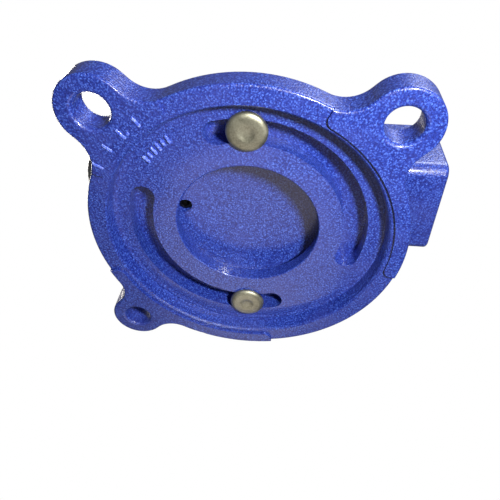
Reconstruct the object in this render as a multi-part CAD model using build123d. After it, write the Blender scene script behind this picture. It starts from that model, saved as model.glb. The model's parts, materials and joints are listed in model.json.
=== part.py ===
from build123d import *
from math import cos, radians, sin
import os

# Bench vise on a swivel base. Millimetres, +Z up.
# The origin is where the swivel axis meets the bench. The tail points to +Y, the moving jaw to -Y.

# driving dimensions
ring_r = 80.5  # outer radius of the swivel base
jaw_width = 80.0
jaw_opening = 75.0
jaw_gap = 0.2  # left between the jaw plates when closed
fit_gap = 0.05  # radial room of a running fit
slide_gap = 0.3  # room round the slide bar
screw_gap = 0.05  # radial room of a screw in its hole

# swivel base
pad_height = 1.6
flange_top = 15.2
recess_depth = 10.3  # bench to the underside of the plate
plate_top = 20.0
rim_inner_r = 70.6
ledge_outer_r = 69.0
floor_outer_r = 67.4
ledge_drop = 0.7
seat_r = 68.0
centre_hole_r = 36.6
centre_hole_draft = 1.4  # the hole is this much wider at the top of the plate
slot_r = 55.2
slot_width = 12.0
slot_start = -15.0
slot_sweep = 122.0
# each lug: swivel axis to the middle of its hole, outer radius, hole radius, rounding of the hole's mouths
big_lug = {"place": 93.2, "tip": 16.8, "hole": 8.3, "blend": 16.0, "mouth": 2.2}
small_lug = {"place": 91.2, "tip": 14.7, "hole": 7.2, "blend": 13.0, "mouth": 1.6}
lugs = {45.0: big_lug, -45.0: big_lug, 225.0: small_lug}
pad_inner_r = 73.2
pad_sectors = [(27.0, 104.0), (-64.0, -27.0), (169.0, 249.0)]
edge_round = 1.3
pad_corner_round = 4.0

# vise body
foot_r = 66.0
foot_top = 39.0
foot_round = 5.0
cavity_r = 45.5
cavity_low = 19.0
cavity_high = 11.8  # the bowl rises this much to its middle
tail_half = 27.4
tail_bottom = 33.0
tail_end = 101.0
tail_side_round = 6.0
tail_end_round = 2.0
body_front = -10.0
anvil_top = 84.0
anvil_start = 32.0
anvil_corner_round = 4.0
anvil_edge_round = 1.2
jaw_top = 102.0
jaw_flare_low = 66.0
jaw_flare_high = 80.0
jaw_half = jaw_width / 2
column_half = 25.0
fixed_jaw_back = 16.0
casting_round = 3.0
flare_round = 12.0

# jaw plates
plate_front = -14.0  # gripping face of the fixed jaw plate
plate_thick = 8.0
plate_low = 84.0
plate_high = 103.0
plate_screw_x = 24.0
plate_screw_z = 93.5
plate_screw = {"r": 3.0, "head": 5.2, "sink": 3.4, "length": 20.0}

# slide bar and screw
bar_half = 20.2
bar_low = 40.3
bar_high = 74.7
bar_rear = 99.0
hollow_half = 14.0
hollow_high = 67.7
screw_z = 56.0
thread_r = 8.0
thread_core_r = 6.9
front_wall_in = -54.0
front_wall_out = -66.0
boss_front = -70.0
boss_r = 17.0
screw_rear = 60.0
journal_r = 7.0
collar_r = 13.0
collar_thick = 4.0
head_r = 12.0
head_front = -97.0
handle_y = -87.5
nut_y = (-45.5, -25.5)
nut_half = 12.5
nut_high = 67.0
nut_screw_y = -36.0
nut_screw_r = 3.0
nut_screw_head_r = 3.8
nut_screw_hole_r = 4.0
nut_screw_head_low = 29.0
nut_screw_reach = 45.0
nut_screw_socket = {"r": 2.6, "deep": 3.0}

# handle
handle_r = 5.0
handle_length = 150.0
handle_tilt = 10.0
knob_r = 8.5
knob_length = 14.0
knob_gap = 0.03  # glue line between knob and bar
knob_outer_round = 5.0
knob_inner_round = 1.5
handle_shift = 51.5  # middle of the bar from the screw's axis, towards -X

# swivel lock
lock_bolt_r = 4.9
lock_head_r = 9.7
lock_head_high = 3.0
lock_dome_r = 23.0
lock_dimple = {"r": 6.4, "deep": 0.45}
lock_neck = 9.8
lock_neck_round = 1.6
lock_neck_long = 5.0  # from the head into the slot
lock_nut_round = 1.2
lock_spot_r = 12.5
lock_spot_z = 31.0
lock_washer_r = 11.0
lock_washer_thick = 2.0
lock_nut_r = 9.0
lock_nut_high = 19.0
lock_nut_low = lock_spot_z + lock_washer_thick + fit_gap
lock_bolt_top = lock_nut_low + 8.0
lever_r = 3.5
lever_length = 48.0
lever_shift = 9.0
lever_knob_r = 5.5
lever_z = lock_nut_low + 13.0


def along_y(radius, start, end, x=0.0, z=0.0):
    """A round bar parallel to Y."""
    return Plane((x, start, z), x_dir=(1, 0, 0), z_dir=(0, 1, 0)) * extrude(Circle(radius), end - start)


def upright(radius, low, high, x=0.0, y=0.0):
    """A round bar parallel to Z."""
    return Pos(x, y, low) * extrude(Circle(radius), high - low)


def block(x, y, z):
    """A box between the two limits given for each axis."""
    size = Box(x[1] - x[0], y[1] - y[0], z[1] - z[0])
    return Pos((x[0] + x[1]) / 2, (y[0] + y[1]) / 2, (z[0] + z[1]) / 2) * size


def polar(radius, angle):
    return radius * cos(radians(angle)), radius * sin(radians(angle))


def lug_outline():
    """The ring's outline with its three lugs, seen from above."""
    outline = Circle(ring_r)
    for angle, lug in lugs.items():
        x, y = polar(lug["place"], angle)
        arm = Rot(0, 0, angle) * Pos(lug["place"] / 2, 0) * Rectangle(lug["place"], 2 * lug["tip"])
        joined = outline + arm + Pos(x, y) * Circle(lug["tip"])
        near = [v for v in joined.vertices() if abs((v.X**2 + v.Y**2) ** 0.5 - ring_r) < 0.01]
        facing = [v for v in near if v.X * x + v.Y * y > 0.85 * ring_r * lug["place"]]
        outline = fillet(facing, lug["blend"])
    return outline


def sector(radius, start, end):
    """A pie slice from start to end degrees."""
    rim = [polar(radius, start + (end - start) * k / 8) for k in range(9)]
    return make_face(Polyline((0, 0), *rim, (0, 0)))


def swivel_base():
    outline = lug_outline()
    flange = Pos(0, 0, pad_height) * extrude(outline, flange_top - pad_height)
    rims = [e for e in flange.edges() if e.bounding_box().size.Z < 0.01]
    flange = fillet(rims, edge_round)
    pads = extrude(outline, pad_height + 2 * edge_round)
    pads = fillet(pads.faces().sort_by(Axis.Z)[0].edges(), edge_round)
    for start, end in pad_sectors:
        reach = sector(2 * ring_r, start, end) - Circle(pad_inner_r)
        corners = reach.vertices().sort_by(lambda v: (v.X**2 + v.Y**2) ** 0.5)[:2]
        reach = fillet(corners, pad_corner_round)
        flange += pads & extrude(reach, pad_height + edge_round)
    flange += upright(seat_r, flange_top - 1.0, plate_top)
    wall = Polyline(
        (0, -1),
        (rim_inner_r + 0.9, -1),
        (rim_inner_r + 0.9, pad_height),
        (rim_inner_r, pad_height + 0.9),
        (ledge_outer_r + 0.6, recess_depth - ledge_drop),
        (ledge_outer_r - 0.3, recess_depth - ledge_drop),
        (floor_outer_r, recess_depth),
        (0, recess_depth),
        (0, -1),
    )
    flange -= revolve(Plane.XZ * make_face(wall), Axis.Z)
    hole = [Circle(centre_hole_r), Pos(0, 0, plate_top - recess_depth) * Circle(centre_hole_r + centre_hole_draft)]
    flange -= Pos(0, 0, recess_depth) * loft(hole)
    rims = flange.edges().filter_by(GeomType.CIRCLE)
    rims = [e for e in rims if centre_hole_r - 0.01 < e.radius < centre_hole_r + centre_hole_draft + 0.01]
    flange = fillet(rims, 0.8)
    for start in (slot_start, slot_start + 180):
        centre_line = CenterArc((0, 0), slot_r, start, slot_sweep)
        flange -= extrude(SlotArc(centre_line, slot_width), plate_top + 1)
    for angle, lug in lugs.items():
        x, y = polar(lug["place"], angle)
        flange -= upright(lug["hole"], -1, flange_top + 1, x, y)
        mouth = [
            e
            for e in flange.edges().filter_by(GeomType.CIRCLE)
            if abs(e.radius - lug["hole"]) < 0.01 and (e.arc_center - Vector(x, y, e.arc_center.Z)).length < 0.01
        ]
        flange = fillet(mouth, lug["mouth"])
    return flange


def jaw_front_view(low, half):
    """Outline of a jaw column seen along Y: a narrow stem that flares to the jaw's width."""
    outline = Polyline(
        (-half, low),
        (half, low),
        (half, jaw_flare_low),
        (jaw_half, jaw_flare_high),
        (jaw_half, jaw_top),
        (-jaw_half, jaw_top),
        (-jaw_half, jaw_flare_high),
        (-half, jaw_flare_low),
        (-half, low),
    )
    face = make_face(outline)
    face = fillet([v for v in face.vertices() if v.Y > low + 1 and abs(v.X) < half + 1], flare_round)
    return fillet([v for v in face.vertices() if abs(v.X) > jaw_half - 0.1], casting_round)


def jaw_column(side, seat, low, half):
    """A jaw column: its side view, rounded away from the plate's seat, cut to its front view."""
    face = make_face(side)
    rounded = [v for v in face.vertices() if v.Y > jaw_flare_low and abs(v.X - seat) > casting_round + 3]
    face = fillet(rounded, casting_round)
    column = Plane.YZ * extrude(face, jaw_half + 5, both=True)
    return column & extrude(Plane.XZ * jaw_front_view(low, half), 2 * ring_r, both=True)


def cavity():
    """The bowl under the foot: a quarter ellipse turned round the swivel axis."""
    quarter = Ellipse(cavity_r, cavity_high) & Pos(cavity_r / 2, cavity_high / 2) * Rectangle(cavity_r, cavity_high)
    return revolve(Plane((0, 0, cavity_low), x_dir=(1, 0, 0), z_dir=(0, -1, 0)) * quarter, Axis.Z)


def plate_holes(seat_y, direction):
    """Holes for the jaw plate screws, from the seat into the casting."""
    depth = plate_screw["length"] - plate_thick + 1.0
    ends = sorted((seat_y - direction, seat_y + direction * depth))
    radius = plate_screw["r"] + screw_gap
    holes = along_y(radius, *ends, -plate_screw_x, plate_screw_z)
    return holes + along_y(radius, *ends, plate_screw_x, plate_screw_z)


def fixed_body():
    foot = upright(foot_r, plate_top, foot_top)
    foot = fillet(foot.faces().sort_by(Axis.Z)[-1].edges(), foot_round)
    side = Polyline(
        (body_front, foot_top - 8),
        (body_front, plate_low - 3),
        (plate_front + plate_thick, plate_low),
        (plate_front + plate_thick, jaw_top),
        (fixed_jaw_back, jaw_top),
        (fixed_jaw_back + 8, anvil_top + 6),
        (anvil_start, anvil_top - 1),
        (anvil_start, foot_top - 8),
        (body_front, foot_top - 8),
    )
    column = jaw_column(side, plate_front + plate_thick, foot_top - 8, tail_half)
    tail = block((-tail_half, tail_half), (body_front, tail_end), (tail_bottom, anvil_top - 8))
    tail = fillet(tail.edges().filter_by(Axis.Y), tail_side_round)
    tail = fillet(tail.faces().sort_by(Axis.Y)[-1].edges(), tail_end_round)
    anvil = block((-tail_half + 2, tail_half - 2), (anvil_start - 6, tail_end - 3), (anvil_top - 14, anvil_top))
    anvil = fillet(anvil.edges().filter_by(Axis.Z), anvil_corner_round)
    anvil = fillet(anvil.faces().sort_by(Axis.Z)[-1].edges(), anvil_edge_round)
    body = foot + column + tail + anvil
    body -= cavity()
    channel_half = bar_half + slide_gap
    body -= block((-channel_half, channel_half), (body_front - 1, tail_end + 1), (bar_low - slide_gap, bar_high + slide_gap))
    body -= upright(nut_screw_hole_r, plate_top, foot_top + 1, 0, nut_screw_y)
    for x in (-slot_r, slot_r):
        body -= upright(lock_spot_r, lock_spot_z, foot_top + 20, x, 0) & block((-200, 200), (-200, 200), (0, foot_top + 1))
        body -= upright(lock_bolt_r + 0.5, 0, foot_top, x, 0)
    body -= plate_holes(plate_front + plate_thick, 1)
    return body


def moving_jaw():
    back = body_front - 8
    seat = plate_front - jaw_gap - plate_thick
    side = Polyline(
        (back, bar_low),
        (back, plate_low - 3),
        (seat, plate_low),
        (seat, jaw_top),
        (seat - 16, jaw_top),
        (seat - 26, jaw_top - 12),
        (front_wall_out + 8, bar_high + 8),
        (front_wall_out, bar_high),
        (front_wall_out, bar_low),
        (back, bar_low),
    )
    column = jaw_column(side, seat, bar_low, column_half)
    bar = block((-bar_half, bar_half), (back - 4, bar_rear), (bar_low, bar_high))
    bar = fillet(bar.edges().filter_by(Axis.Y), 1.5)
    boss = along_y(boss_r, boss_front, front_wall_out + 4, 0, screw_z)
    boss &= block((-boss_r, boss_r), (boss_front, 0), (bar_low, screw_z + boss_r))
    jaw = column + bar + boss
    jaw -= block((-hollow_half, hollow_half), (front_wall_in, bar_rear + 1), (bar_low - 1, hollow_high))
    jaw -= along_y(journal_r + fit_gap, boss_front - 1, front_wall_in + 1, 0, screw_z)
    jaw -= plate_holes(seat, -1)
    return jaw


def jaw_plate(front, direction):
    """A jaw plate; direction is +1 where its casting lies on the +Y side."""
    back = front + direction * plate_thick
    y = sorted((front, back))
    plate = block((-jaw_half, jaw_half), y, (plate_low, plate_high))
    plate = chamfer(plate.edges().filter_by(Axis.Z), 0.6)
    for x in (-plate_screw_x, plate_screw_x):
        plate -= along_y(plate_screw["r"] + screw_gap, y[0] - 1, y[1] + 1, x, plate_screw_z)
        plate -= countersink(front, direction, x, screw_gap)
    return plate


def countersink(front, direction, x, room=0.0):
    """The cone of a flat screw head sunk just under the gripping face."""
    plane = Plane((x, front + direction * 0.6, plate_screw_z), x_dir=(1, 0, 0), z_dir=(0, direction, 0))
    wide = plate_screw["head"] + room
    cone = plane * loft([Circle(wide), Pos(0, 0, plate_screw["sink"]) * Circle(plate_screw["r"] + room)])
    if room:
        cone += along_y(wide, *sorted((front - direction, front + direction * 0.6)), x, plate_screw_z)
    return cone


def jaw_screws(front, direction):
    screws = []
    for x in (-plate_screw_x, plate_screw_x):
        start = front + direction * (0.6 + plate_screw["sink"] - 0.01)
        end = front + direction * plate_screw["length"]
        shank = along_y(plate_screw["r"], *sorted((start, end)), x, plate_screw_z)
        screw = countersink(front, direction, x) + shank
        socket = Plane((x, front, plate_screw_z), x_dir=(1, 0, 0), z_dir=(0, direction, 0))
        screws.append(screw - socket * extrude(RegularPolygon(2.3, 6), 2.8))
    return Compound(children=screws)


def main_nut():
    nut = block((-nut_half, nut_half), nut_y, (foot_top, nut_high))
    nut = chamfer(nut.edges().filter_by(Axis.Y).sort_by(Axis.Z)[-2:], 4.0)
    nut -= along_y(thread_r + fit_gap, nut_y[0] - 1, nut_y[1] + 1, 0, screw_z)
    return nut - upright(nut_screw_r + screw_gap, foot_top - 1, nut_screw_reach + 1.5, 0, nut_screw_y)


def nut_screw():
    head = upright(nut_screw_head_r, nut_screw_head_low, foot_top, 0, nut_screw_y)
    head -= Pos(0, nut_screw_y, nut_screw_head_low) * extrude(RegularPolygon(nut_screw_socket["r"], 6), nut_screw_socket["deep"])
    return head + upright(nut_screw_r, foot_top, nut_screw_reach, 0, nut_screw_y)


def spindle():
    thread = along_y(thread_core_r, front_wall_in + 6.5, screw_rear, 0, screw_z)
    thread = chamfer(thread.faces().sort_by(Axis.Y)[-1].edges(), 1.5)
    journal = along_y(journal_r, boss_front - 1, front_wall_in + 6.5, 0, screw_z)
    collar = along_y(collar_r, boss_front - collar_thick, boss_front - 0.1, 0, screw_z)
    collar = fillet(collar.edges().filter_by(GeomType.CIRCLE), 1.0)
    head = along_y(head_r, head_front, boss_front - collar_thick + 1, 0, screw_z)
    head = fillet(head.faces().sort_by(Axis.Y)[0].edges(), 3.0)
    shaft = thread + journal + collar + head
    shaft -= handle_place() * extrude(Circle(handle_r + fit_gap), 2 * head_r, both=True)
    return shaft - along_y(1.7, -2 * head_r, 2 * head_r).rotate(Axis.Z, 90).translate((0, cotter_y(), screw_z))


def cotter_y():
    return front_wall_in + 4.3


def thrust_washer():
    washer = along_y(11.0, front_wall_in + 0.1, front_wall_in + 2.1, 0, screw_z)
    return washer - along_y(journal_r + 0.3, front_wall_in, front_wall_in + 3, 0, screw_z)


def cotter_pin():
    pin = along_y(1.6, -11.0, 11.0)
    pin = fillet(pin.edges().filter_by(GeomType.CIRCLE), 0.6)
    return pin.rotate(Axis.Z, 90).translate((0, cotter_y(), screw_z))


def handle_place():
    """Plane at the screw's axis whose Z runs along the handle, to -X and a little up."""
    lean = radians(handle_tilt)
    return Plane((0, handle_y, screw_z), x_dir=(0, 1, 0), z_dir=(-cos(lean), 0, sin(lean)))


def handle_bar():
    bar = Pos(0, 0, handle_shift - handle_length / 2) * extrude(Circle(handle_r), handle_length)
    return handle_place() * bar


def handle_knob(end):
    """A round-nosed cap over one end of the handle; end is +1 or -1."""
    start = end * (handle_length / 2 - knob_length + 4.0)
    stop = end * (handle_length / 2 + 4.0)
    low, high = sorted((start, stop))
    knob = Pos(0, 0, handle_shift + low) * extrude(Circle(knob_r), high - low)
    outer = knob.faces().sort_by(Axis.Z)[-1 if end > 0 else 0]
    knob = fillet(outer.edges(), knob_outer_round)
    inner = knob.faces().sort_by(Axis.Z)[0 if end > 0 else -1]
    knob = fillet(inner.edges(), knob_inner_round)
    bore = Pos(0, 0, handle_shift - handle_length / 2) * extrude(Circle(handle_r + knob_gap), handle_length)
    return handle_place() * (knob - bore)


def lock_bolt(x):
    head_low = recess_depth - lock_head_high
    head = upright(lock_head_r, head_low, recess_depth - fit_gap, x, 0)
    head &= Pos(x, 0, head_low + lock_dome_r) * Sphere(lock_dome_r)
    neck = Pos(x, 0, recess_depth - 1) * extrude(RectangleRounded(lock_neck, lock_neck, lock_neck_round), lock_neck_long + 1)
    shank = upright(lock_bolt_r, recess_depth, lock_bolt_top, x, 0)
    shank = chamfer(shank.faces().sort_by(Axis.Z)[-1].edges(), 1.0)
    dimple = Pos(x, 0, head_low + lock_dimple["deep"] - lock_dimple["r"]) * Sphere(lock_dimple["r"])
    return head + neck + shank - dimple


def lock_washers():
    washers = []
    for x in (-slot_r, slot_r):
        ring = upright(lock_washer_r, lock_spot_z, lock_spot_z + lock_washer_thick, x, 0)
        washers.append(ring - upright(lock_bolt_r + 0.4, 0, 60, x, 0))
    return Compound(children=washers)


def lock_nut(x):
    nut = upright(lock_nut_r, lock_nut_low, lock_nut_low + lock_nut_high, x, 0)
    nut = fillet(nut.edges().filter_by(GeomType.CIRCLE), lock_nut_round)
    nut -= upright(lock_bolt_r + fit_gap, 0, lock_bolt_top + 0.5, x, 0)
    return nut - along_y(lever_r + fit_gap, -30, 30, x, lever_z)


def lock_lever(x):
    start = -lever_length / 2 - lever_shift
    end = lever_length / 2 - lever_shift
    bar = along_y(lever_r, start, end, x, lever_z)
    for y in (start, end):
        bar += Pos(x, y, lever_z) * Sphere(lever_knob_r)
    return bar


def write(name, shape):
    shape.label = name
    export_step(shape, f"parts/{name}.step")


os.makedirs("parts", exist_ok=True)
moving_plate_front = plate_front - jaw_gap
pieces = {
    "swivel_base": swivel_base(),
    "fixed_body": fixed_body(),
    "fixed_jaw_plate": jaw_plate(plate_front, 1),
    "fixed_jaw_screws": jaw_screws(plate_front, 1),
    "main_nut": main_nut(),
    "nut_screw": nut_screw(),
    "lock_bolt_right": lock_bolt(slot_r),
    "lock_bolt_left": lock_bolt(-slot_r),
    "lock_washers": lock_washers(),
    "lock_nut_right": lock_nut(slot_r),
    "lock_nut_left": lock_nut(-slot_r),
    "lock_lever_right": lock_lever(slot_r),
    "lock_lever_left": lock_lever(-slot_r),
    "moving_jaw": moving_jaw(),
    "moving_jaw_plate": jaw_plate(moving_plate_front, -1),
    "moving_jaw_screws": jaw_screws(moving_plate_front, -1),
    "thrust_washer": thrust_washer(),
    "spindle": spindle(),
    "cotter_pin": cotter_pin(),
    "handle_bar": handle_bar(),
    "handle_knob_upper": handle_knob(1),
    "handle_knob_lower": handle_knob(-1),
}
for name, shape in pieces.items():
    write(name, shape)
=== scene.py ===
import json
import math

import bpy
import numpy as np
from mathutils import Matrix, Vector


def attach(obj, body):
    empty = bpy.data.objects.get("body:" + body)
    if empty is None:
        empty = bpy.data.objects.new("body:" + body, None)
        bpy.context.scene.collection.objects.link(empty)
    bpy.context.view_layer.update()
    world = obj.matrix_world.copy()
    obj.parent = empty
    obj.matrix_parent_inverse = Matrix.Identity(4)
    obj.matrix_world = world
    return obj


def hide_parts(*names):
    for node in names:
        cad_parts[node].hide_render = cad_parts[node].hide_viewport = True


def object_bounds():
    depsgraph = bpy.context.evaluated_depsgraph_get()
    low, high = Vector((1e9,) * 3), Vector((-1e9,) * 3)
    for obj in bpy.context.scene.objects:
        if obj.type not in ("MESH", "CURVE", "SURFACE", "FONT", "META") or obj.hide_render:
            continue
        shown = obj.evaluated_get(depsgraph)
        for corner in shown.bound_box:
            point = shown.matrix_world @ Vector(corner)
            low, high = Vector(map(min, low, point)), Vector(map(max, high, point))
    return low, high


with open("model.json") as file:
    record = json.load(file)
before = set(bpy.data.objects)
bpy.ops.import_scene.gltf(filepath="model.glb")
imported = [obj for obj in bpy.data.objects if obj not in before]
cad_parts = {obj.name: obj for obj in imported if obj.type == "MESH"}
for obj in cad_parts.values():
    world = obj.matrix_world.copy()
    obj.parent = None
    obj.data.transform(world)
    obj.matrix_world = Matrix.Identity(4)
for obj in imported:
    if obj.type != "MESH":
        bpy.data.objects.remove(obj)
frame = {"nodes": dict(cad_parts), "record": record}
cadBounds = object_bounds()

# Bench vise on a swivel base, seen from under its base. Scene units are metres.

mm = 0.001
joints = {j["name"]: j for j in frame["record"]["behaviour"]["joints"]}
nodes = frame["nodes"]
ringR = 80.5 * mm  # outer radius of the base ring


# sRGB hex to linear
def hexColour(text, alpha=1.0):
    parts = [int(text[k:k + 2], 16) / 255 for k in (0, 2, 4)]
    return tuple(c / 12.92 if c <= 0.04045 else ((c + 0.055) / 1.055) ** 2.4 for c in parts) + (alpha,)


# an even grey as a linear colour
def grey(value):
    return (value, value, value, 1.0)


# adds one node; an input is a value, or an output socket to link from
def addNode(tree, kind, inputs=None, **settings):
    node = tree.nodes.new(kind)
    for name, value in settings.items():
        setattr(node, name, value)
    for name, value in (inputs or {}).items():
        socket = node.inputs[name]
        if isinstance(value, bpy.types.NodeSocket):
            tree.links.new(value, socket)
        else:
            socket.default_value = value
    return node


# a colour ramp from (position, colour) stops
def ramp(tree, factor, stops):
    node = addNode(tree, "ShaderNodeValToRGB", {"Fac": factor})
    elements = node.color_ramp.elements
    while len(elements) < len(stops):
        elements.new(0.5)
    for element, (position, colour) in zip(elements, stops):
        element.position = position
        element.color = colour
    return node.outputs["Color"]


# an empty node material
def newMaterial(name):
    material = bpy.data.materials.new(name)
    material.use_nodes = True
    material.node_tree.nodes.clear()
    return material, material.node_tree


# closes a material with one Principled shader; keys are its sockets with _ for a space
def finishMaterial(tree, **shader):
    inputs = {name.replace("_", " "): value for name, value in shader.items()}
    principled = addNode(tree, "ShaderNodeBsdfPrincipled", inputs)
    addNode(tree, "ShaderNodeOutputMaterial", {"Surface": principled.outputs["BSDF"]})


# the camera sits under the base, on the side of the right lock bolt, and looks up
shot = {
    "place": (2.0222, 0.258, -2.378),  # in ring radii from the swivel axis on the bench
    "azimuth": 96.159,
    "elevation": -48.412,
    "roll": 8.375,
    "lens": 36.097,
    "sensor": 36.0,
}


def makeCamera():
    data = bpy.data.cameras.new("camera")
    data.sensor_width = shot["sensor"]
    data.lens = shot["lens"]
    data.clip_start = 0.01
    camera = bpy.data.objects.new("camera", data)
    bpy.context.scene.collection.objects.link(camera)
    a, e = math.radians(shot["azimuth"]), math.radians(shot["elevation"])
    back = Vector((math.sin(a) * math.cos(e), -math.cos(a) * math.cos(e), math.sin(e)))
    roll = Matrix.Rotation(math.radians(shot["roll"]), 3, "Z")
    turn = (-back).to_track_quat("-Z", "Y").to_matrix() @ roll
    camera.matrix_world = Matrix.Translation(Vector(shot["place"]) * ringR) @ turn.to_4x4()
    bpy.context.scene.camera = camera


makeCamera()
print("camera placed")

# the studio: a pale floor that is clear from below, and soft lights under and over it
studio = {
    "floorHalf": 3.0,
    "floorColour": "e9e9ea",
    "worldLight": 0.06,  # for diffuse rays
    "glossLight": 0.16,  # for reflections
    "floorGlow": 0.55,
    "lights": {
        # name: (place in ring radii, size in ring radii, power in W, colour)
        "underKey": ((2.7, 1.6, -2.5), 0.6, 2.25, "fcfaf2"),
        "underHaze": ((-2.9, -0.3, -3.3), 3.0, 0.24, "fff2e8"),
        "over": ((-2.5, -4.5, 6.5), 4.0, 5.0, "fff8f0"),
        "overFill": ((5.0, 4.0, 5.0), 4.0, 2.5, "f0f4ff"),
    },
}


def makeStudio():
    scene = bpy.context.scene
    scene.view_settings.view_transform = "Standard"
    world = bpy.data.worlds.new("studio")
    world.use_nodes = True
    tree = world.node_tree
    tree.nodes.clear()
    path = addNode(tree, "ShaderNodeLightPath")
    mirrored = addNode(tree, "ShaderNodeMapRange", {
        "Value": path.outputs["Is Glossy Ray"], "To Min": studio["worldLight"], "To Max": studio["glossLight"]})
    strength = addNode(tree, "ShaderNodeMapRange", {
        "Value": path.outputs["Is Camera Ray"], "To Min": mirrored.outputs["Result"], "To Max": 1.0})
    shade = addNode(tree, "ShaderNodeBackground", {
        "Color": grey(1.0), "Strength": strength.outputs["Result"]})
    addNode(tree, "ShaderNodeOutputWorld", {"Surface": shade.outputs["Background"]})
    scene.world = world

    half, low = studio["floorHalf"], cadBounds[0].z - 0.2 * mm
    corners = [(-half, -half, low), (half, -half, low), (half, half, low), (-half, half, low)]
    mesh = bpy.data.meshes.new("floor")
    mesh.from_pydata(corners, [], [(0, 1, 2, 3)])
    floor = bpy.data.objects.new("floor", mesh)
    scene.collection.objects.link(floor)
    material, tree = newMaterial("paleFloor")
    side = addNode(tree, "ShaderNodeNewGeometry")
    pale = addNode(tree, "ShaderNodeBsdfDiffuse", {"Color": hexColour(studio["floorColour"])})
    glow = addNode(tree, "ShaderNodeEmission", {
        "Color": hexColour(studio["floorColour"]), "Strength": studio["floorGlow"]})
    lit = addNode(tree, "ShaderNodeAddShader", {0: pale.outputs["BSDF"], 1: glow.outputs["Emission"]})
    clear = addNode(tree, "ShaderNodeBsdfTransparent")
    mix = addNode(tree, "ShaderNodeMixShader", {
        0: side.outputs["Backfacing"], 1: lit.outputs["Shader"], 2: clear.outputs["BSDF"]})
    addNode(tree, "ShaderNodeOutputMaterial", {"Surface": mix.outputs["Shader"]})
    mesh.materials.append(material)
    floor.visible_shadow = False  # light from below reaches the underside
    floor.visible_diffuse = False
    floor.visible_glossy = False
    floor.visible_transmission = False

    for name, (place, size, power, colour) in studio["lights"].items():
        data = bpy.data.lights.new(name, "AREA")
        data.shape = "DISK"
        data.size = size * ringR
        data.energy = power
        data.color = hexColour(colour)[:3]
        light = bpy.data.objects.new(name, data)
        light.location = Vector(place) * ringR
        light.rotation_mode = "QUATERNION"
        light.rotation_quaternion = (Vector((0, 0, 0.4)) * ringR - light.location).to_track_quat("-Z", "Y")
        scene.collection.objects.link(light)


makeStudio()
print("studio built")

# Hammered enamel: a stoving paint with silicone that draws up into small cells about 1 mm across,
# so the blue looks mottled, with a glossy skin over a pebbled surface.
enamel = {"cell": 0.8 * mm, "wave": 26 * mm, "relief": 0.17 * mm,
          "pit": "101e72", "body": "223898", "crest": "4c6cd0", "worn": "3a4292"}
# the same paint, smooth over small raised castings, in much lighter blues that stand for a painted glint on the
# cast marks
smoothEnamelWithPaintedGlint = {**enamel, "relief": 0.03 * mm, "pit": "3a52cc", "body": "5a74e4", "crest": "9db0fa"}


def paint(name, kind):
    material, tree = newMaterial(name)
    place = addNode(tree, "ShaderNodeTexCoord")
    mapped = addNode(tree, "ShaderNodeMapping", {"Vector": place.outputs["Object"]})
    cells = addNode(tree, "ShaderNodeTexNoise", {
        "Vector": mapped.outputs["Vector"], "Scale": 1 / kind["cell"], "Detail": 2.0,
        "Roughness": 0.55, "Distortion": 0.25})
    beads = addNode(tree, "ShaderNodeTexVoronoi", {
        "Vector": mapped.outputs["Vector"], "Scale": 0.8 / kind["cell"], "Smoothness": 0.6},
        feature="SMOOTH_F1")
    waves = addNode(tree, "ShaderNodeTexNoise", {
        "Vector": mapped.outputs["Vector"], "Scale": 1 / kind["wave"], "Detail": 3.0, "Roughness": 0.5})
    beadHeight = addNode(tree, "ShaderNodeMath", {0: beads.outputs["Distance"], 1: 0.55}, operation="MULTIPLY")
    skin = addNode(tree, "ShaderNodeMath", {
        0: cells.outputs["Fac"], 1: beadHeight.outputs["Value"]}, operation="SUBTRACT")
    height = addNode(tree, "ShaderNodeMapRange", {
        "Value": skin.outputs["Value"], "From Min": -0.05, "From Max": 0.6})
    mottled = ramp(tree, height.outputs["Result"], [
        (0.15, hexColour(kind["pit"])),
        (0.5, hexColour(kind["body"])),
        (0.85, hexColour(kind["crest"]))])
    drift = addNode(tree, "ShaderNodeMapRange", {
        "Value": waves.outputs["Fac"], "From Min": 0.45, "From Max": 0.7, "To Max": 0.35})
    colour = addNode(tree, "ShaderNodeMix", {
        "Factor": drift.outputs["Result"], 6: mottled, 7: hexColour(kind["worn"])}, data_type="RGBA")
    gloss = addNode(tree, "ShaderNodeMapRange", {
        "Value": height.outputs["Result"], "To Min": 0.46, "To Max": 0.28})
    coarse = addNode(tree, "ShaderNodeBump", {
        "Height": waves.outputs["Fac"], "Strength": 0.5, "Distance": 1.2 * mm})
    fine = addNode(tree, "ShaderNodeBump", {
        "Height": height.outputs["Result"], "Normal": coarse.outputs["Normal"],
        "Strength": 1.0, "Distance": kind["relief"]})
    finishMaterial(tree, Base_Color=colour.outputs[2], Roughness=gloss.outputs["Result"],
                   Normal=fine.outputs["Normal"], Coat_Weight=0.5, Coat_Roughness=0.14)
    return material


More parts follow.
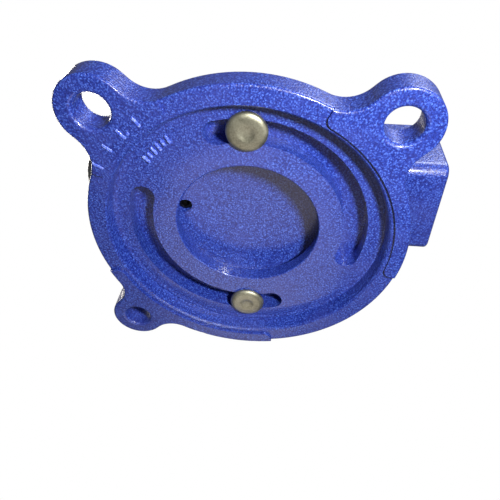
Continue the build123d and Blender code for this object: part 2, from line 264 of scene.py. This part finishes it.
# Metals share one recipe: a base colour, a fine grain, and blotches in the roughness.
metals = {
    # hardened jaw steel, ground: satin grey
    "hardenedSteel": {"dark": "5c5d60", "light": "8d8e90", "roughness": (0.28, 0.44), "grain": 0.5 * mm,
                      "relief": 0.02 * mm},
    # black oxide and oil: near black, dull
    "blackOxide": {"dark": "1c1d1f", "light": "35363a", "roughness": (0.35, 0.55), "grain": 0.6 * mm,
                   "relief": 0.03 * mm},
    # grey iron as cast: sandy dark grey
    "greyIron": {"dark": "3a3937", "light": "5d5b57", "roughness": (0.5, 0.75), "grain": 0.8 * mm,
                 "relief": 0.1 * mm},
    # yellow passivated zinc, dull from handling: grey with a straw cast
    "yellowZinc": {"dark": "7d7c6c", "light": "b4b3a2", "roughness": (0.42, 0.6), "grain": 0.8 * mm,
                   "relief": 0.05 * mm},
    # clear passivated zinc: pale grey, soft gloss
    "clearZinc": {"dark": "8f9296", "light": "bfc2c6", "roughness": (0.26, 0.42), "grain": 0.7 * mm,
                  "relief": 0.02 * mm},
    # nickel and chrome plate on drawn bar: bright
    "chromePlate": {"dark": "b9bcc0", "light": "e4e6e8", "roughness": (0.1, 0.2), "grain": 0.5 * mm,
                    "relief": 0.008 * mm},
    # turned steel, wiped with oil: mid grey
    "oiledSteel": {"dark": "6a6b6d", "light": "a0a1a3", "roughness": (0.24, 0.38), "grain": 0.4 * mm,
                   "relief": 0.02 * mm},
}


def plainMetal(name):
    kind = metals[name]
    material, tree = newMaterial(name)
    place = addNode(tree, "ShaderNodeTexCoord")
    mapped = addNode(tree, "ShaderNodeMapping", {"Vector": place.outputs["Object"]})
    grain = addNode(tree, "ShaderNodeTexNoise", {
        "Vector": mapped.outputs["Vector"], "Scale": 1 / kind["grain"], "Detail": 3.0, "Roughness": 0.6})
    stain = addNode(tree, "ShaderNodeTexNoise", {
        "Vector": mapped.outputs["Vector"], "Scale": 1 / (9 * mm), "Detail": 4.0, "Roughness": 0.6})
    both = addNode(tree, "ShaderNodeMix", {0: 0.6, 2: grain.outputs["Fac"], 3: stain.outputs["Fac"]})
    colour = ramp(tree, both.outputs[0], [(0.32, hexColour(kind["dark"])), (0.66, hexColour(kind["light"]))])
    smooth, rough = kind["roughness"]
    gloss = addNode(tree, "ShaderNodeMapRange", {
        "Value": stain.outputs["Fac"], "From Min": 0.3, "From Max": 0.7, "To Min": smooth, "To Max": rough})
    bump = addNode(tree, "ShaderNodeBump", {
        "Height": grain.outputs["Fac"], "Strength": 0.8, "Distance": kind["relief"]})
    finishMaterial(tree, Base_Color=colour, Metallic=1.0, Roughness=gloss.outputs["Result"],
                   Normal=bump.outputs["Normal"])
    return material


finishes = {name: plainMetal(name) for name in metals}
finishes["hammeredEnamel"] = paint("hammeredEnamel", enamel)
finishes["smoothEnamelWithPaintedGlint"] = paint("smoothEnamelWithPaintedGlint", smoothEnamelWithPaintedGlint)

finishOfNode = {
    "hammeredEnamel": ["swivel_base", "fixed_body", "moving_jaw"],
    "hardenedSteel": ["fixed_jaw_plate", "moving_jaw_plate"],
    "blackOxide": ["fixed_jaw_screws", "moving_jaw_screws", "nut_screw"],
    "greyIron": ["main_nut"],
    "yellowZinc": ["lock_bolt_right", "lock_bolt_left"],
    "clearZinc": ["lock_washers", "lock_nut_right", "lock_nut_left", "thrust_washer", "cotter_pin"],
    "chromePlate": ["handle_bar", "handle_knob_upper", "handle_knob_lower",
                    "lock_lever_right", "lock_lever_left"],
    "oiledSteel": ["spindle"],
}
for finish, names in finishOfNode.items():
    for name in names:
        nodes[name].data.materials.clear()
        nodes[name].data.materials.append(finishes[finish])
print("materials on", sum(len(names) for names in finishOfNode.values()), "nodes")


# A piece from rings of points, an array of ring x point x 3: each ring is closed, neighbouring rings are
# joined by quads, and a middle point closes each end. Several sets of rings may share one mesh.
def ringPiece(name, ringSets, finish, body):
    points, faces, start = [], [], 0
    for rings in ringSets:
        count, around, _ = rings.shape
        k, j = np.meshgrid(np.arange(count - 1), np.arange(around), indexing="ij")
        near, far = k * around + j, k * around + (j + 1) % around
        sides = np.stack([near, far, far + around, near + around], axis=-1).reshape(-1, 4) + start
        side = np.arange(around)
        low, high = start + count * around, start + count * around + 1
        ends = [np.stack([np.full(around, low), start + (side + 1) % around, start + side], axis=-1)]
        top = start + (count - 1) * around
        ends.append(np.stack([np.full(around, high), top + side, top + (side + 1) % around], axis=-1))
        points += [rings.reshape(-1, 3), rings[0].mean(axis=0)[None], rings[-1].mean(axis=0)[None]]
        faces += [*sides.tolist(), *np.concatenate(ends).tolist()]
        start += count * around + 2
    mesh = bpy.data.meshes.new(name)
    mesh.from_pydata(np.concatenate(points).tolist(), [], faces)
    mesh.polygons.foreach_set("use_smooth", np.ones(len(faces), dtype=bool))
    mesh.update()
    mesh.materials.append(finishes[finish])
    piece = bpy.data.objects.new(name, mesh)
    bpy.context.scene.collection.objects.link(piece)
    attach(piece, body)
    return piece


# Turned shape: every (radius, height) of the profile swept once round the upright axis at the centre given.
def turned(profile, centre, around=72):
    radius, height = np.array(profile, dtype=float).T * mm
    angle = np.linspace(0, 2 * np.pi, around, endpoint=False)
    ring = np.stack([np.outer(radius, np.cos(angle)), np.outer(radius, np.sin(angle)),
                     np.repeat(height[:, None], around, axis=1)], axis=-1)
    return ring + np.array(centre)


# Points along a quarter ellipse between two profile points, leaving the first one upright.
def bend(first, last, steps=8):
    t = np.linspace(0, np.pi / 2, steps + 1)
    wide, tall = first[0] - last[0], last[1] - first[1]
    return [(last[0] + wide * np.cos(u), first[1] + tall * np.sin(u)) for u in t]


# Lock bolts: the domed head hangs in the slot under the plate, with a shallow dimple in its middle.
# All in mm; "seat" is the underside of the plate over the bench, less the room under it.
lockBolt = {"seat": 10.25, "head": 9.7, "rim": 0.8, "tall": 2.95, "crown": 6.4, "dimple": 3.6,
            "dip": 0.5, "shank": 4.9}


def lockBolts():
    b = lockBolt
    seat = b["seat"]
    face = seat - b["tall"]  # lowest face of the head
    # the profile in three parts: dimple and crown, round to the rim, then the bearing face and shank
    dish = [(b["crown"] - 0.6, face + 0.02), (b["dimple"] + 0.9, face), (b["dimple"], face + 0.08),
            (b["dimple"] - 0.7, face + b["dip"] * 0.75), (1.0, face + b["dip"]), (0.05, face + b["dip"])]
    dome = bend((b["head"], seat - b["rim"]), (b["crown"], face + 0.12), 12)
    top = nodes["lock_bolt_right"].bound_box[1][2] / mm  # end of the shank
    stem = [(b["head"], seat - 0.15), (b["head"] - 0.2, seat), (b["shank"] + 0.05, seat),
            (b["shank"], seat + 0.3), (b["shank"], top - 1.0), (b["shank"] - 1.0, top), (0.05, top)]
    profile = dish[::-1] + dome[::-1] + stem
    for side, name in ((1, "lock_bolt_right"), (-1, "lock_bolt_left")):
        centre = (joints["lock_turn_right"]["pos_m"][0] * side, 0, 0)
        piece = ringPiece(name + "_look", [turned(profile, centre)], "yellowZinc", "vise_body")
        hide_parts(name)


lockBolts()
print("lock bolts turned")


# Cushion: a box with soft corners; each coordinate is the half size times a power of sine or cosine of
# two angles that run round and over it. It lies radially at the place given in polar form.
def cushion(half, radius, angle, height, turn=0.0, steps=14, around=28, power=0.45):
    over = np.linspace(-np.pi / 2, np.pi / 2, steps + 2)[1:-1, None]
    spin = np.linspace(0, 2 * np.pi, around, endpoint=False)[None]

    def soft(v):
        return np.sign(v) * np.abs(v) ** power

    x = soft(np.cos(over)) * soft(np.cos(spin)) * half[0]
    y = soft(np.cos(over)) * soft(np.sin(spin)) * half[1]
    z = soft(np.sin(over)) * np.ones_like(spin) * half[2]
    a, lean = math.radians(angle), math.radians(angle + turn)
    shape = [x * math.cos(lean) - y * math.sin(lean) + radius * math.cos(a),
             x * math.sin(lean) + y * math.cos(lean) + radius * math.sin(a), z + height]
    return np.stack(shape, axis=-1) * mm


# Cast marks: four short bars and a dot stand proud of the pad by the left lug, and a row of plain bars
# stands on the plate beside them.
castMarks = {
    # half sizes in mm; places are (radius in mm, angle in degrees); "level" is the middle of a mark
    "bars": {"half": (2.9, 0.75, 0.9), "level": 0.4,
             "places": [(78.6, -60.0), (78.8, -51.7), (78.2, -44.1), (78.0, -36.8)]},
    "dot": {"half": (0.8, 0.8, 0.8), "level": 0.4, "place": (76.3, -42.1)},
    "row": {"half": (2.4, 0.6, 1.0), "level": 10.2, "radius": 61.2, "start": -51.5, "step": 3.0, "turn": 6,
            "sizes": [1.0, 0.8, 1.0, 1.0, 0.75, 1.0]},
}


def makeCastMarks():
    bars, dot, row = castMarks["bars"], castMarks["dot"], castMarks["row"]
    marks = [cushion(bars["half"], radius, angle, bars["level"]) for radius, angle in bars["places"]]
    marks.append(cushion(dot["half"], *dot["place"], dot["level"]))
    # the marks take the lighter enamel: a painted glint on them
    ringPiece("cast_marks", marks, "smoothEnamelWithPaintedGlint", "base")
    long, *others = row["half"]
    ribs = []
    for k, size in enumerate(row["sizes"]):
        angle = row["start"] + row["step"] * k
        ribs.append(cushion((long * size, *others), row["radius"], angle, row["level"], row["turn"]))
    # the row takes the same lighter enamel: a painted glint
    ringPiece("cast_row", ribs, "smoothEnamelWithPaintedGlint", "base")


makeCastMarks()
print("cast marks placed")

# Screw thread: a trapezoid carried along a right-hand helix round the screw's core; the crest sinks into
# the core over the first and last turn.
thread = {"core": 6.6, "crest": 7.95, "pitch": 4.0, "rootHalf": 1.5, "crestHalf": 0.7, "start": -44.0, "end": 58.0,
          "perTurn": 40}


def screwThread():
    t = thread
    turns = (t["end"] - t["start"]) / t["pitch"]
    angle = np.linspace(0, turns, int(turns * t["perTurn"]) + 1)
    rise = np.clip(np.minimum(angle, turns - angle), 0, 1)
    crest = t["core"] + (t["crest"] - t["core"]) * np.clip(rise * 1.2, 0.05, 1)
    core = np.full_like(crest, t["core"])
    radius = np.stack([core, crest, crest, core], axis=1)
    along = np.array([-t["rootHalf"], -t["crestHalf"], t["crestHalf"], t["rootHalf"]])[None]
    turn = 2 * np.pi * angle[:, None]
    y = t["start"] + t["pitch"] * angle[:, None] + along
    axisZ = joints["screw_turn"]["pos_m"][2] / mm
    rings = np.stack([radius * np.sin(turn), y, radius * np.cos(turn) + axisZ], axis=-1) * mm
    ringPiece("screw_thread", [rings[:, ::-1]], "oiledSteel", "screw")


screwThread()
print("thread cut")
